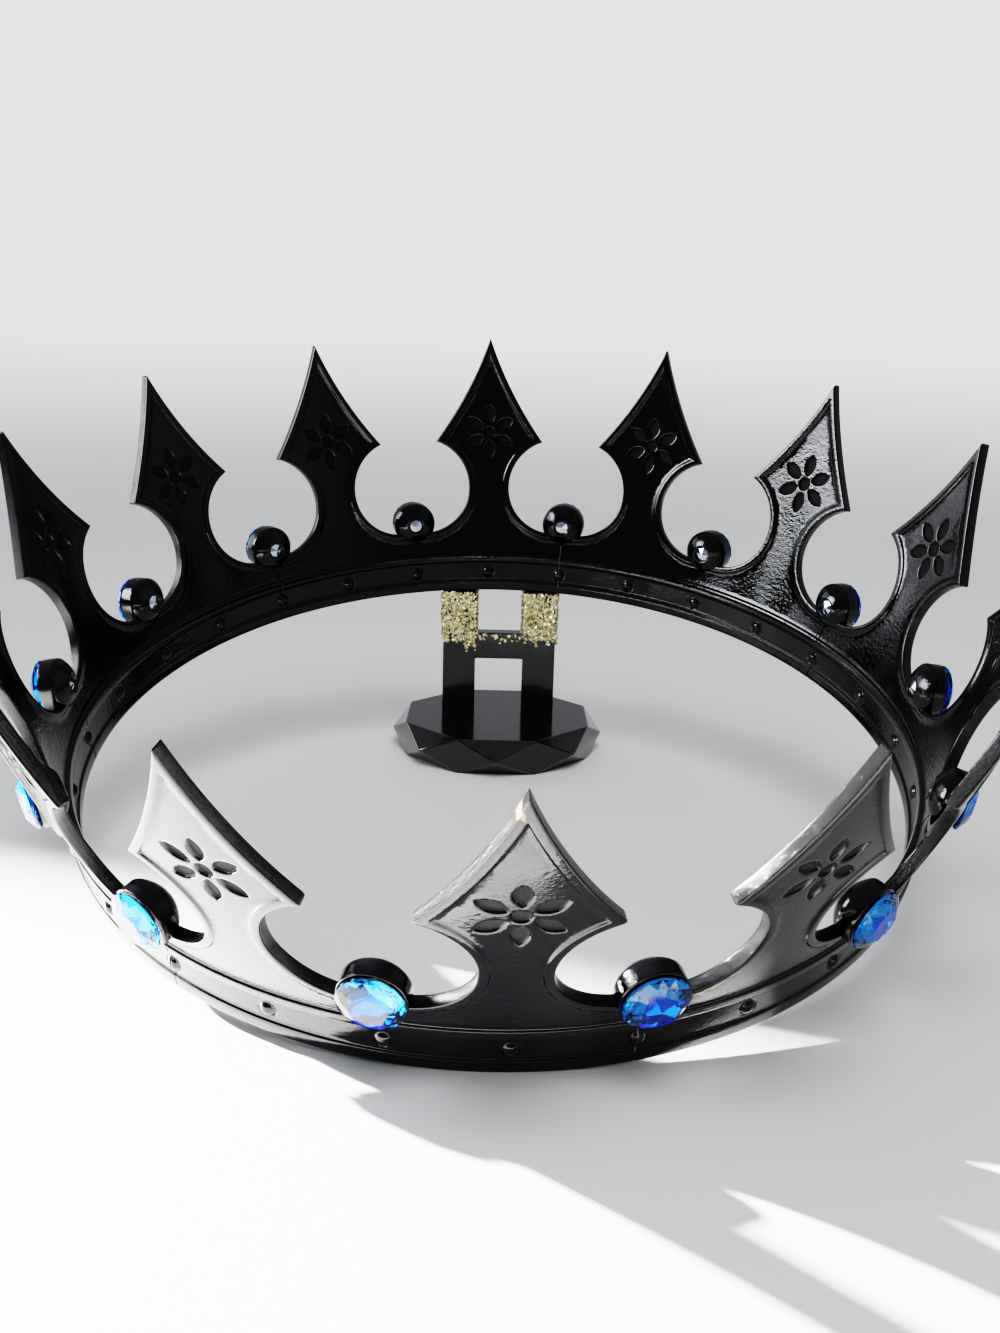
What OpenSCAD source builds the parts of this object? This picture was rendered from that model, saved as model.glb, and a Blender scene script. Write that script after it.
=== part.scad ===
// Costume crown of fourteen arrowhead spires, resting with its front edge on the
// ground and its back edge on a small two-post stand.
// The wall is drawn on its own developed surface: a place on it is given by the
// length s measured up the wall from the lower edge, and the length u along it.

/* [Crown wall] */
// Radius of the middle of the wall at the lower edge
foot_r = 92; // [88:0.5:98]
// Thickness at the raised rims and at the lower bead
wall_t = 2.5; // [2.2:0.1:3]
// Thickness of the sunk field inside the rims
field_t = 1.6; // [1.3:0.1:1.9]
// Thickness of the plain strip that carries the rivets
strip_t = 1.7; // [1.4:0.1:2]
// Lean of the band outwards from upright, in degrees
band_flare = 5.6; // [2:0.2:9]
// Lean of the wall just above the ridge, in degrees
stem_flare = 21; // [19:0.5:23]
// Lean of the wall at the tips, in degrees
tip_flare = 14.5; // [12:0.5:17]

/* [Spires] */
// Length up the wall to the tips
tip_s = 71.5; // [68:0.5:75]
// Length up the wall to the two barbs of a spire
barb_s = 43.3; // [42:0.1:44.5]
// Half the width across the barbs
barb_u = 15; // [14:0.1:16]
// How far the upper edges are hollowed
edge_sag = 1.2; // [0.6:0.1:1.8]
// Radius of the round sides of the gap between two spires
gap_r = 13.3; // [12.8:0.1:13.8]
// Length up the wall to the middle of the gap
gap_s = 30.6; // [30:0.1:31.2]
// Half the width of a spire at its neck
neck_u = 5.7; // [5:0.1:6.5]
// Width of the raised rim along the spires and gaps
rim_w = 1.7; // [1.2:0.1:2]

/* [Band] */
// Height of the bead along the lower edge
bead_s = 2.9; // [2:0.1:3.5]
// Lower side of the ridge round the band
ridge_low_s = 8.6; // [8:0.1:9]
// Upper side of the ridge round the band
ridge_high_s = 10.9; // [10.5:0.1:11.5]
// How far the ridge stands above the rims
ridge_rise = 0.15; // [0.1:0.05:0.4]
// Length up the wall to the row of rivet heads
rivet_s = 5.5; // [5:0.1:6]
// Radius of a rivet head
rivet_r = 1.5; // [1.2:0.1:1.8]
// Height of a rivet head above the strip
rivet_h = 0.8; // [0.5:0.1:1]

/* [Flowers] */
// Length up the wall to the eye of the sunk flower
flower_s = 45.4; // [44.5:0.1:46]
// Length of a petal
petal_l = 5.2; // [4.6:0.1:5.4]
// Width of a petal
petal_w = 2.8; // [2:0.1:3]
// Distance from the eye to the middle of a petal
petal_at = 4.9; // [4.7:0.1:5]
// Radius of the eye
eye_r = 1.6; // [1.2:0.1:1.8]
// Depth of the flower below the field
flower_depth = 0.4; // [0.2:0.05:0.5]

/* [Settings and stones] */
// Radius of the round setting
setting_r = 5.9; // [5.5:0.1:6.1]
// Distance from the crown's axis to the front of a setting
setting_front_r = 98.8; // [98.5:0.1:99.5]
// Height of the middle of that front
setting_z = 19.1; // [18.7:0.1:19.5]
// Lean of the setting's face towards the ground, in degrees
setting_lean = 8; // [4:1:12]
// Length of the setting's straight side
setting_l = 3.2; // [2.8:0.1:3.6]
// Height of the rounded back of the setting
dome_h = 3; // [2.5:0.1:3.3]
// Radius of a stone at its widest
stone_r = 6.1; // [5.8:0.1:6.2]
// Height of a stone from its flat back to its table
stone_h = 2.5; // [2:0.1:3]

/* [Stand] */
// Radius of the base at its widest corners
base_r = 31; // [28:0.5:34]
// Thickness of the base
base_t = 9.7; // [8:0.1:11]
// Width of one post
post_w = 9.6; // [8:0.1:10.5]
// Width of the space between the posts
post_gap = 14; // [12:0.2:16]
// Thickness of the posts from front to back
post_d = 5; // [4.5:0.1:6]
// Underside of the crossbar above the ground
bar_z = 25.5; // [23:0.5:28]
// Height of the crossbar
bar_h = 7.8; // [6:0.1:9]

/* [Placing] */
// Lean of the whole crown with its back edge up, in degrees
crown_lean = 14.5; // [12:0.5:17]
// Turn of the crown on its own axis, in degrees
crown_turn = 2.3; // [-4:0.1:4]

/* [Hidden] */

$fn = 96;
spires = 14;
per_segment = 2;
segments = spires / per_segment;
pitch_a = 360 / spires;
half_a = pitch_a / 2;
segment_a = per_segment * pitch_a;
// Wall rings are turned with this many sides, so that a mesh of one is close to round
turn_fn = 252;

// Half the glue line between two segments, as an angle, and the play around a setting
seam_a = 0.03;
seam_play = 0.1;
glue = 0.1;
edge_cut = 0.4;

// How far the blank wall goes past the tips, and past a segment's joints in degrees
past = 4;
past_a = 1;

// Length of a cutter that goes through the wall, and half the width of the one along a gap
through = 24;
gap_cut_u = 5;

// The wall's section is straight up to the ridge and one long arc above it
bend_s = (ridge_low_s + ridge_high_s) / 2;
bend_rate = (tip_flare - stem_flare) / (tip_s - bend_s);
bend_r = 180 / PI / bend_rate;
wall_steps = 5;

function flare(s) = s <= bend_s ? band_flare : stem_flare + bend_rate * (s - bend_s);
function wall_r(s) = s <= bend_s
    ? foot_r + s * sin(band_flare)
    : foot_r + bend_s * sin(band_flare) + bend_r * (cos(stem_flare) - cos(flare(s)));
function wall_z(s) = s <= bend_s
    ? s * cos(band_flare)
    : bend_s * cos(band_flare) + bend_r * (sin(flare(s)) - sin(stem_flare));

// Radius and height of a point that lies off the middle of the wall, outwards if positive
function off_wall(s, off) = [wall_r(s) + off * cos(flare(s)), wall_z(s) - off * sin(flare(s))];
function last_first(points) = [for (i = [len(points) - 1 : -1 : 0]) points[i]];
function steps(from_s, to_s) = [for (i = [0 : wall_steps]) from_s + (to_s - from_s) * i / wall_steps];

// One face of the blank wall from the lower edge to past the tips; side is 1 or -1
function face(side) = concat(
    [[foot_r + side * (wall_t / 2 - edge_cut), 0]],
    [for (p = [[edge_cut, wall_t], [bead_s - edge_cut, wall_t], [bead_s, strip_t], [ridge_low_s, strip_t],
               [ridge_low_s + edge_cut, wall_t + 2 * ridge_rise],
               [ridge_high_s - edge_cut, wall_t + 2 * ridge_rise]])
        off_wall(p[0], side * p[1] / 2)],
    [for (s = steps(ridge_high_s, tip_s + past)) off_wall(s, side * wall_t / 2)]);

// The middle of the round side of a gap, as an angle from the spire's own plane
gap_a = (neck_u + gap_r) / wall_r(gap_s) * 180 / PI;

// Circle that hollows the upper edge of a spire, about the point (0, barb_s) of its flat
edge_chord = norm([barb_u, tip_s - barb_s]);
edge_r = (pow(edge_chord / 2, 2) + pow(edge_sag, 2)) / (2 * edge_sag);
edge_out = [tip_s - barb_s, barb_u] / edge_chord;
edge_mid = [barb_u, tip_s - barb_s] / 2;
edge_c = edge_mid + edge_out * (edge_r - edge_sag);

// Where things stand along Y, measured from the line on which the front edge rests
foot_out = foot_r + wall_t / 2 - edge_cut;
back_foot_y = (foot_r + foot_out) * cos(crown_lean);
post_back = 2;
post_y = back_foot_y - post_back;
base_front = 4;
base_y = post_y - base_front;
tip_out = off_wall(tip_s, wall_t / 2);
front_reach = (foot_out - tip_out[0] * cos(crown_turn)) * cos(crown_lean) - tip_out[1] * sin(crown_lean);
back_reach = base_y + base_r;
front_y = -(front_reach + back_reach) / 2;

// Puts the crown, drawn upright on its own axis, in its place on the stand
module seat_crown() {
    translate([0, front_y, 0])
        rotate([crown_lean, 0, 0])
            translate([0, foot_out, 0])
                rotate([0, 0, crown_turn])
                    children();
}

// Turns a thing drawn at the front, towards -Y, to the place of spire k; half numbers are gaps
module at_spire(k) {
    rotate([0, 0, k * pitch_a])
        children();
}

// Moves a thing to the wall: x runs along it, y runs up it and z points out of it
module on_wall(angle, s) {
    rotate([0, 0, angle])
        translate([0, -wall_r(s), wall_z(s)])
            rotate([90 + flare(s), 0, 0])
                children();
}

// Solid of revolution between two angles from the front
module turned(from_a, to_a, points) {
    rotate([0, 0, from_a - 90])
        rotate_extrude(angle = to_a - from_a, $fn = turn_fn)
            polygon(points);
}

// What is cut away beside and above one spire, kept back by the width grow.
// The circle of an upper edge is kept to its own side, and a little past the tip.
module round_spire(grow) {
    side_w = 32;
    side_l = 60;
    below_barb = 12;
    for (side = [-1, 1]) {
        on_wall(side * gap_a, gap_s)
            cylinder(r = gap_r + grow, h = through, center = true);
        on_wall(0, barb_s)
            intersection() {
                translate([side * edge_c[0], edge_c[1], 0])
                    cylinder(r = edge_r + grow, h = through, center = true, $fn = 240);
                translate([side * (side_w / 2 - gap_cut_u) - side_w / 2, -below_barb, -through / 2])
                    cube([side_w, side_l, through]);
            }
    }
}

// What is cut away along the middle of one gap, kept back by the width grow
module middle_of_gap(grow) {
    on_wall(0, gap_s)
        translate([-gap_cut_u, -gap_r - grow, -through / 2])
            cube([2 * gap_cut_u, tip_s, through]);
}

// All that is cut away round the two spires of a segment
module outline(grow) {
    for (k = [0 : per_segment - 1])
        at_spire(k)
            round_spire(grow);
    for (k = [-0.5 : per_segment])
        at_spire(k)
            middle_of_gap(grow);
}

// Thin shell between two distances from the middle of the wall
module shell(low, high, from_s, to_s, from_a, to_a) {
    lows = [for (s = steps(from_s, to_s)) off_wall(s, low)];
    highs = [for (s = steps(from_s, to_s)) off_wall(s, high)];
    turned(from_a, to_a, concat(lows, last_first(highs)));
}

// Outline of a petal: where two circles overlap
module petal() {
    petal_arc_r = (pow(petal_l, 2) + pow(petal_w, 2)) / (4 * petal_w);
    shift = petal_arc_r - petal_w / 2;
    intersection() {
        translate([0, shift])
            circle(petal_arc_r);
        translate([0, -shift])
            circle(petal_arc_r);
    }
}

// Six pointed petals round an eye, one of them straight up, right through the wall
module flower() {
    on_wall(0, flower_s)
        translate([0, 0, -through / 4])
            linear_extrude(through / 2) {
                circle(eye_r);
                for (i = [0 : 5])
                    rotate(90 + 60 * i)
                        translate([petal_at, 0])
                            petal();
            }
}

// Domed rivet heads on both faces of the strip
module rivet() {
    ball_r = (pow(rivet_r, 2) + pow(rivet_h, 2)) / (2 * rivet_h);
    top = strip_t / 2 + rivet_h;
    spare = 0.2;
    for (side = [-1, 1])
        on_wall(0, rivet_s)
            intersection() {
                translate([0, 0, side * (top - ball_r)])
                    sphere(ball_r, $fn = 48);
                translate([0, 0, side * top / 2])
                    cylinder(r = rivet_r + spare, h = top + spare, center = true, $fn = 48);
            }
}

// The flower as it is cut into both faces, down to its depth below the field
module sunk_flower() {
    low_s = flower_s - petal_at - petal_l;
    high_s = flower_s + petal_at + petal_l;
    floor_at = field_t / 2 - flower_depth;
    above = wall_t / 2;
    intersection() {
        union() {
            shell(floor_at, above, low_s, high_s, -half_a / 2, half_a / 2);
            shell(-above, -floor_at, low_s, high_s, -half_a / 2, half_a / 2);
        }
        flower();
    }
}

// The fields inside the rims, sunk into both faces over a whole segment
module sunk_fields() {
    from_s = ridge_high_s + 0.2;
    to_s = tip_s + past + 1;
    above = wall_t / 2 + 1;
    difference() {
        union() {
            shell(field_t / 2, above, from_s, to_s, -half_a - past_a, segment_a - half_a + past_a);
            shell(-above, -field_t / 2, from_s, to_s, -half_a - past_a, segment_a - half_a + past_a);
        }
        outline(rim_w);
    }
}

// Block that takes away all that lies past a segment's joint, between two angles
module past_joint(from_a, to_a) {
    inner_r = foot_r - 12;
    outer_r = foot_r + 40;
    low_z = -5;
    high_z = tip_s + 8;
    turned(from_a, to_a, [[inner_r, low_z], [outer_r, low_z], [outer_r, high_z], [inner_r, high_z]]);
}

// Moves a thing to the front of a setting in the plane of the front: z points out of the crown
module on_setting() {
    translate([0, -setting_front_r, setting_z])
        rotate([90 + setting_lean, 0, 0])
            children();
}

// Round setting with a straight side and a domed back
module setting() {
    dome_r = (pow(setting_r, 2) + pow(dome_h, 2)) / (2 * dome_h);
    on_setting()
        intersection() {
            translate([0, 0, -setting_l - dome_h])
                cylinder(r = setting_r, h = setting_l + dome_h);
            translate([0, 0, dome_r - setting_l - dome_h])
                sphere(dome_r);
        }
}

// A printed segment: two spires, the setting between them and the one over its last joint
module segment(n) {
    color([0.03, 0.03, 0.035])
        seat_crown()
            at_spire(1 + per_segment * (n - 1)) {
                difference() {
                    union() {
                        turned(-half_a - past_a, segment_a - half_a + past_a,
                               concat(face(1), last_first(face(-1))));
                        for (k = [-0.5 : 0.5 : per_segment - 0.5])
                            at_spire(k)
                                rivet();
                    }
                    outline(0);
                    sunk_fields();
                    for (k = [0 : per_segment - 1])
                        at_spire(k)
                            sunk_flower();
                    past_joint(-half_a - 4 * past_a, seam_a - half_a);
                    past_joint(segment_a - half_a - seam_a, segment_a - half_a + 4 * past_a);
                    at_spire(-0.5)
                        on_setting()
                            cylinder(r = setting_r + seam_play, h = through, center = true);
                }
                for (k = [0.5 : per_segment])
                    at_spire(k)
                        setting();
            }
}

// Cut stone with a flat back, a thin girdle, a ring of sixteen bevels and an eight-sided table
module stone(n) {
    back_r = stone_r - 0.5;
    girdle_z = [0.5, 0.9];
    bevel_r = stone_r - 1.1;
    bevel_z = stone_h - 0.8;
    table_r = 3.2;
    thin = 0.01;
    color([0.08, 0.25, 0.85])
        seat_crown()
            at_spire(n - 0.5)
                on_setting()
                    translate([0, 0, glue])
                        hull() {
                            cylinder(r = back_r, h = thin, $fn = 16);
                            translate([0, 0, girdle_z[0]])
                                cylinder(r = stone_r, h = girdle_z[1] - girdle_z[0], $fn = 16);
                            translate([0, 0, bevel_z])
                                rotate(360 / 32)
                                    cylinder(r = bevel_r, h = thin, $fn = 16);
                            translate([0, 0, stone_h - thin])
                                cylinder(r = table_r, h = thin, $fn = 8);
                        }
}

// Faceted base: two octagons with a larger one, turned half a side, between them
module stand_base() {
    rim_ratio = 0.915;
    thin = 0.01;
    color([0.05, 0.05, 0.055])
        translate([0, front_y + base_y, 0])
            hull() {
                for (z = [0, base_t - thin])
                    translate([0, 0, z])
                        rotate(360 / 16)
                            cylinder(r = base_r * rim_ratio, h = thin, $fn = 8);
                translate([0, 0, base_t / 2])
                    cylinder(r = base_r, h = thin, $fn = 8);
            }
}

// Two posts joined by a crossbar, with sloping tops on which the crown's back edge lies
module stand_posts() {
    top_z = 70;
    color([0.05, 0.05, 0.055])
        translate([0, front_y, 0])
            difference() {
                translate([-post_w / 2, post_y, 0]) {
                    for (side = [-1, 1])
                        translate([side * (post_gap + post_w) / 2, 0, base_t])
                            cube([post_w, post_d, top_z - base_t]);
                    translate([-post_gap / 2, 0, bar_z])
                        cube([post_gap + post_w, post_d, bar_h]);
                }
                rotate([crown_lean, 0, 0])
                    translate([-foot_r, 0, -glue])
                        cube([2 * foot_r, 3 * foot_r, top_z]);
            }
}

for (n = [1 : segments])
    segment(n);
for (n = [1 : spires])
    stone(n);
stand_base();
stand_posts();
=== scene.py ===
import math

import bmesh
import bpy
import numpy as np
from mathutils import Matrix, Vector
from mathutils.geometry import delaunay_2d_cdt


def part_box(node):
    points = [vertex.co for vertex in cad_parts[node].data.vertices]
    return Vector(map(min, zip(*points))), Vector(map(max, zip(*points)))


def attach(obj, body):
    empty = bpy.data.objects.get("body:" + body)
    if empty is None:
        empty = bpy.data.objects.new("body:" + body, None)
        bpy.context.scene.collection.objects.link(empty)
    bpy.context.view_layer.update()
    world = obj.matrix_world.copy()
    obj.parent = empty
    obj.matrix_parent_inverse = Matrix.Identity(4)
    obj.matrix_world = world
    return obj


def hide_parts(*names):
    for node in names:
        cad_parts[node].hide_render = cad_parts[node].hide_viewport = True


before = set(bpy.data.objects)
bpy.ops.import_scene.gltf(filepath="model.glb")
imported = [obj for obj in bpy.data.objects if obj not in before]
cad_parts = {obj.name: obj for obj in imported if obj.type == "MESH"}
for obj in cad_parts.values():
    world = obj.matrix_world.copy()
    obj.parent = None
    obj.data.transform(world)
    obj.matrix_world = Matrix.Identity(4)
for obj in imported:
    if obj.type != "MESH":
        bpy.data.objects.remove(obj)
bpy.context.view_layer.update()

# Where the crown is.
# It is drawn upright on its own axis in millimetres, with the front spire towards -Y, and
# is then tipped back, so that its front edge lies on the ground and its back on the posts.
MM = 0.001
foot_r = 92.0
wall_t = 2.5
foot_bevel = 0.4
foot_out = foot_r + wall_t / 2 - foot_bevel
crown_lean = math.radians(14.5)
crown_turn = math.radians(2.3)
base_low, base_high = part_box("stand_base")
posts_low, posts_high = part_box("stand_posts")
base_before_back = 6.0
base_behind_front = (foot_r + foot_out) * math.cos(crown_lean) - base_before_back
front_y = (base_low.y + base_high.y) / 2 / MM - base_behind_front
seat = (
    Matrix.Translation((0, front_y, 0))
    @ Matrix.Rotation(crown_lean, 4, "X")
    @ Matrix.Translation((0, foot_out, 0))
    @ Matrix.Rotation(crown_turn, 4, "Z")
)


def seated(points):
    """Points of the upright crown, in millimetres, as metres in the row's frame."""
    turned = np.asarray(points) @ np.array(seat.to_3x3()).T
    return (turned + np.array(seat.translation)) * MM


# The black lacquer.
# The crown is printed plastic under glossy black lacquer that has run a little, so layer
# lines, small lumps and a fine grain still show in what the gloss reflects.
class Value:
    """A socket in a material, with Python's signs for the sums done on it."""

    def __init__(self, paint, socket):
        self.paint = paint
        self.socket = socket

    def sum(self, operation, first, second):
        return self.paint.node("Math", {"operation": operation}, {0: first, 1: second})

    def __add__(self, other):
        return self.sum("ADD", self, other)

    def __sub__(self, other):
        return self.sum("SUBTRACT", self, other)

    def __mul__(self, other):
        return self.sum("MULTIPLY", self, other)

    def __rsub__(self, other):
        return self.sum("SUBTRACT", other, self)

    __radd__ = __add__
    __rmul__ = __mul__


class Paint:
    def __init__(self, owner, shader="Principled BSDF"):
        owner.use_nodes = True
        self.owner = owner
        self.tree = owner.node_tree
        self.shader = self.tree.nodes[shader]

    def node(self, kind, settings=None, sockets=None, out=0):
        made = self.tree.nodes.new("ShaderNode" + kind)
        for name, value in (settings or {}).items():
            if name == "stops":
                self.set_stops(made.color_ramp, value)
            else:
                setattr(made, name, value)
        for name, value in (sockets or {}).items():
            self.fill(made.inputs[name], value)
        return Value(self, made.outputs[out])

    def set_stops(self, ramp, stops):
        while len(ramp.elements) < len(stops):
            ramp.elements.new(0.5)
        for element, (place, colour) in zip(ramp.elements, stops):
            element.position = place
            element.color = (*colour, 1.0)

    def fill(self, socket, value):
        if isinstance(value, Value):
            self.tree.links.new(value.socket, socket)
        else:
            socket.default_value = value

    def finish(self, **sockets):
        for name, value in sockets.items():
            self.fill(self.shader.inputs[name.replace("_", " ")], value)
        return self.owner

    def attribute(self, name, out):
        return self.node("Attribute", {"attribute_name": name}, out=out)

    def noise(self, place, scale, detail):
        return self.node("TexNoise", None, {"Vector": place, "Scale": scale, "Detail": detail})

    def stretched(self, place, factors):
        return self.node("VectorMath", {"operation": "MULTIPLY"}, {0: place, 1: factors})

    def step(self, value, low, high):
        limits = {"Value": value, "From Min": low, "From Max": high}
        return self.node("MapRange", {"interpolation_type": "SMOOTHSTEP"}, limits)

    def mix(self, factor, first, second):
        sockets = {"Factor": factor, 6: first, 7: second}
        return self.node("Mix", {"data_type": "RGBA"}, sockets, out=2)

    def bump(self, height_mm):
        return self.node("Bump", None, {"Height": height_mm, "Distance": MM, "Strength": 1.0})


def black_lacquer():
    paint = Paint(bpy.data.materials.new("black_lacquer"))
    place = paint.attribute("wall_place", "Vector")
    worn = paint.attribute("worn", "Fac")
    sunk = paint.attribute("sunk", "Fac")
    black = (0.0035, 0.0035, 0.0045, 1.0)
    bare_print = (0.33, 0.22, 0.13, 1.0)
    line_h, lump_h, chip_h = 0.01, 0.036, 0.1
    grain_h, patch_grain_h, pocket_grain_h = 0.018, 0.028, 0.05

    lines = paint.noise(paint.stretched(place, (0.2, 1.0, 1.0)), 1.2, 1.0)
    lumps = paint.noise(place, 1.0, 1.0)
    grain = paint.noise(place, 2.8, 2.0)
    patches = paint.step(paint.noise(place, 0.09, 1.0), 0.42, 0.6)
    chipped = paint.step(worn + paint.noise(place, 1.4, 3.0) * 0.7, 0.95, 1.05)

    height = (
        lines * line_h + lumps * lump_h
        + grain * (patches * patch_grain_h + sunk * pocket_grain_h + grain_h)
        - chipped * chip_h
    )
    return paint.finish(
        Base_Color=paint.mix(chipped, black, bare_print),
        Roughness=0.05 + patches * 0.05 + sunk * 0.8 + chipped * 0.45,
        Normal=paint.bump(height),
        IOR=1.5,
    )


lacquer = black_lacquer()


# The wall's section and the outline of one spire.
# The seven glued pieces of the wall are alike: each is two arrowhead spires over a band.
# The wall leans out 5.6 degrees up to the ridge, 21 just above it and 14.5 at the tips.
spires = 14
per_segment = 2
pitch_a = 2 * math.pi / spires
half_a = pitch_a / 2
band_flare = 5.6
stem_flare = 21.0
tip_flare = 14.5
tip_s = 71.5
barb_s = 43.3
barb_u = 15.0
edge_sag = 1.2
gap_r = 13.3
gap_s = 30.6
gap_floor_s = gap_s - gap_r
neck_u = 5.7
ridge_low_s = 8.6
ridge_high_s = 10.9
bead_s = 2.9
bend_s = (ridge_low_s + ridge_high_s) / 2
bend_rate = (tip_flare - stem_flare) / (tip_s - bend_s)
bend_r = math.degrees(1 / bend_rate)


def flare(s):
    """Lean of the wall outwards, in radians, at a length s up it."""
    s = np.asarray(s, float)
    return np.radians(np.where(s <= bend_s, band_flare, stem_flare + bend_rate * (s - bend_s)))


def wall_r(s):
    s = np.asarray(s, float)
    at_bend = foot_r + bend_s * math.sin(math.radians(band_flare))
    above = at_bend + bend_r * (math.cos(math.radians(stem_flare)) - np.cos(flare(s)))
    return np.where(s <= bend_s, foot_r + s * math.sin(math.radians(band_flare)), above)


def wall_z(s):
    s = np.asarray(s, float)
    at_bend = bend_s * math.cos(math.radians(band_flare))
    above = at_bend + bend_r * (np.sin(flare(s)) - math.sin(math.radians(stem_flare)))
    return np.where(s <= bend_s, s * math.cos(math.radians(band_flare)), above)


def on_wall(angle, s, off):
    """Upright crown's points: angle round it, length up the wall, height off its middle."""
    r = wall_r(s) + off * np.cos(flare(s))
    z = wall_z(s) - off * np.sin(flare(s))
    return np.stack([r * np.sin(angle), -r * np.cos(angle), z], axis=-1)


# The outline is drawn flat: u runs along the wall from the spire's own line, s runs up it
gap_a = (neck_u + gap_r) / float(wall_r(gap_s))
edge_chord = math.hypot(barb_u, tip_s - barb_s)
edge_r = ((edge_chord / 2) ** 2 + edge_sag ** 2) / (2 * edge_sag)
edge_off = edge_r - edge_sag
edge_c = np.array([
    barb_u / 2 + edge_off * (tip_s - barb_s) / edge_chord,
    (barb_s + tip_s) / 2 + edge_off * barb_u / edge_chord,
])
outline_step = 0.45
floor_steps = 9
barb_turn_range = (math.radians(120), math.radians(175))
halvings = 40


def gap_point(t):
    """Point of the round side of the gap, turned by t from its foot towards the spire."""
    s = gap_s - gap_r * np.cos(t)
    return np.stack([gap_a * wall_r(s) - gap_r * np.sin(t), s], axis=-1)


def barb_turn():
    """The turn at which the gap's round side meets the upper edge."""
    low, high = barb_turn_range
    for _ in range(halvings):
        middle = (low + high) / 2
        outside = np.linalg.norm(gap_point(middle) - edge_c) > edge_r
        low, high = (middle, high) if outside else (low, middle)
    return low


def right_outline():
    """From the middle of the gap's floor, up the gap's side and the upper edge, to the tip."""
    floor_from = half_a * float(wall_r(gap_floor_s))
    floor_to = gap_point(0.0)[0]
    floor_u = np.linspace(floor_from, floor_to, floor_steps)[:-1]
    gap_floor = np.stack([floor_u, np.full_like(floor_u, gap_floor_s)], axis=-1)
    end = barb_turn()
    side = gap_point(np.linspace(0, end, int(end * gap_r / outline_step)))
    barb, tip = side[-1] - edge_c, np.array([0.0, tip_s]) - edge_c
    first, last = math.atan2(barb[1], barb[0]), math.atan2(tip[1], tip[0])
    turns = np.linspace(first, last, int(edge_chord / outline_step))
    edge = edge_c + edge_r * np.stack([np.cos(turns), np.sin(turns)], axis=-1)
    edge[-1] = (0.0, tip_s)
    return np.concatenate([gap_floor, side[:-1], edge])


outline = right_outline()


def from_outline(points):
    """Distance of each point from the outline of gap and spire."""
    points = np.stack([np.abs(points[:, 0]), points[:, 1]], axis=-1)
    start, along = outline[:-1], np.diff(outline, axis=0)
    length2 = (along ** 2).sum(axis=1)
    nearest = np.empty(len(points))
    batch = 2000
    for at in range(0, len(points), batch):
        gap = points[at:at + batch, None] - start
        t = np.clip((gap * along).sum(axis=2) / length2, 0, 1)
        nearest[at:at + batch] = np.linalg.norm(gap - t[..., None] * along, axis=2).min(axis=1)
    return nearest


# The relief of the wall's two faces.
# Both faces have a bead, a strip with rivet heads, a ridge, a sunk field in raised rims, and a
# flower of six petals round an eye: small steep pockets with matt floors and softened lips.
field_h = 0.8
strip_h = 0.85
rim_h = wall_t / 2
ridge_h = rim_h + 0.15
ridge_foot = 0.2
ridge_brow = 0.25
bead_slope = 0.2
rim_w = 1.7
front_slope = 0.26
back_slope = 0.5
round_r = 0.36
rivet_s = 5.5
rivet_r = 1.5
rivet_rise = 0.8
rivet_ditch = 0.16
flower_s = 45.4
petals = 6
petal_l = 5.4
petal_w = 2.9
petal_at = 4.9
petal_arc_r = (petal_l ** 2 + petal_w ** 2) / (4 * petal_w)
petal_shift = petal_arc_r - petal_w / 2
petal_turns = [math.pi / 2 + i * 2 * math.pi / petals for i in range(petals)]
eye_r = 1.6
pocket_depth = 0.62
pocket_lip = 0.12
pocket_wall = 0.28


def rise(low, high, value):
    t = np.clip((value - low) / (high - low), 0, 1)
    return t * t * (3 - 2 * t)


def in_pocket(u, s):
    """How far inside one of the flower's pockets a point lies; less than nothing outside."""
    up = s - flower_s
    inside = eye_r - np.hypot(u, up)
    for a in petal_turns:
        along = u * math.cos(a) + up * math.sin(a) - petal_at
        across = -u * math.sin(a) + up * math.cos(a)
        inside = np.maximum(inside, petal_arc_r - np.hypot(along, np.abs(across) + petal_shift))
    return inside


def pocket_line(d, step):
    """Points along the edges of the flower's pockets, moved inwards by d."""
    turns = np.linspace(0, 2 * math.pi, int(2 * math.pi * (eye_r - d) / step), endpoint=False)
    points = [(eye_r - d) * np.stack([np.cos(turns), np.sin(turns)], axis=-1)]
    r = petal_arc_r - d
    reach = math.acos(petal_shift / r)
    turns = np.linspace(-reach, reach, int(2 * reach * r / step))
    along, across = r * np.sin(turns) + petal_at, r * np.cos(turns) - petal_shift
    for a in petal_turns:
        for side in (across, -across):
            u = along * math.cos(a) - side * math.sin(a)
            up = along * math.sin(a) + side * math.cos(a)
            points.append(np.stack([u, up], axis=-1))
    return np.concatenate(points) + (0, flower_s)


def rivet(u, s, at_u):
    """Height of a rivet head over the strip, with the small ditch round it."""
    ball_r = (rivet_r ** 2 + rivet_rise ** 2) / (2 * rivet_rise)
    away = np.hypot(u - at_u, s - rivet_s)
    ball = np.sqrt(np.maximum(ball_r ** 2 - np.minimum(away, rivet_r) ** 2, 0))
    head = ball - (ball_r - rivet_rise)
    ditch = rivet_ditch * np.exp(-((away - rivet_r - rivet_ditch) / rivet_ditch) ** 2)
    return np.where(away < rivet_r, head, 0) - ditch


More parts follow.
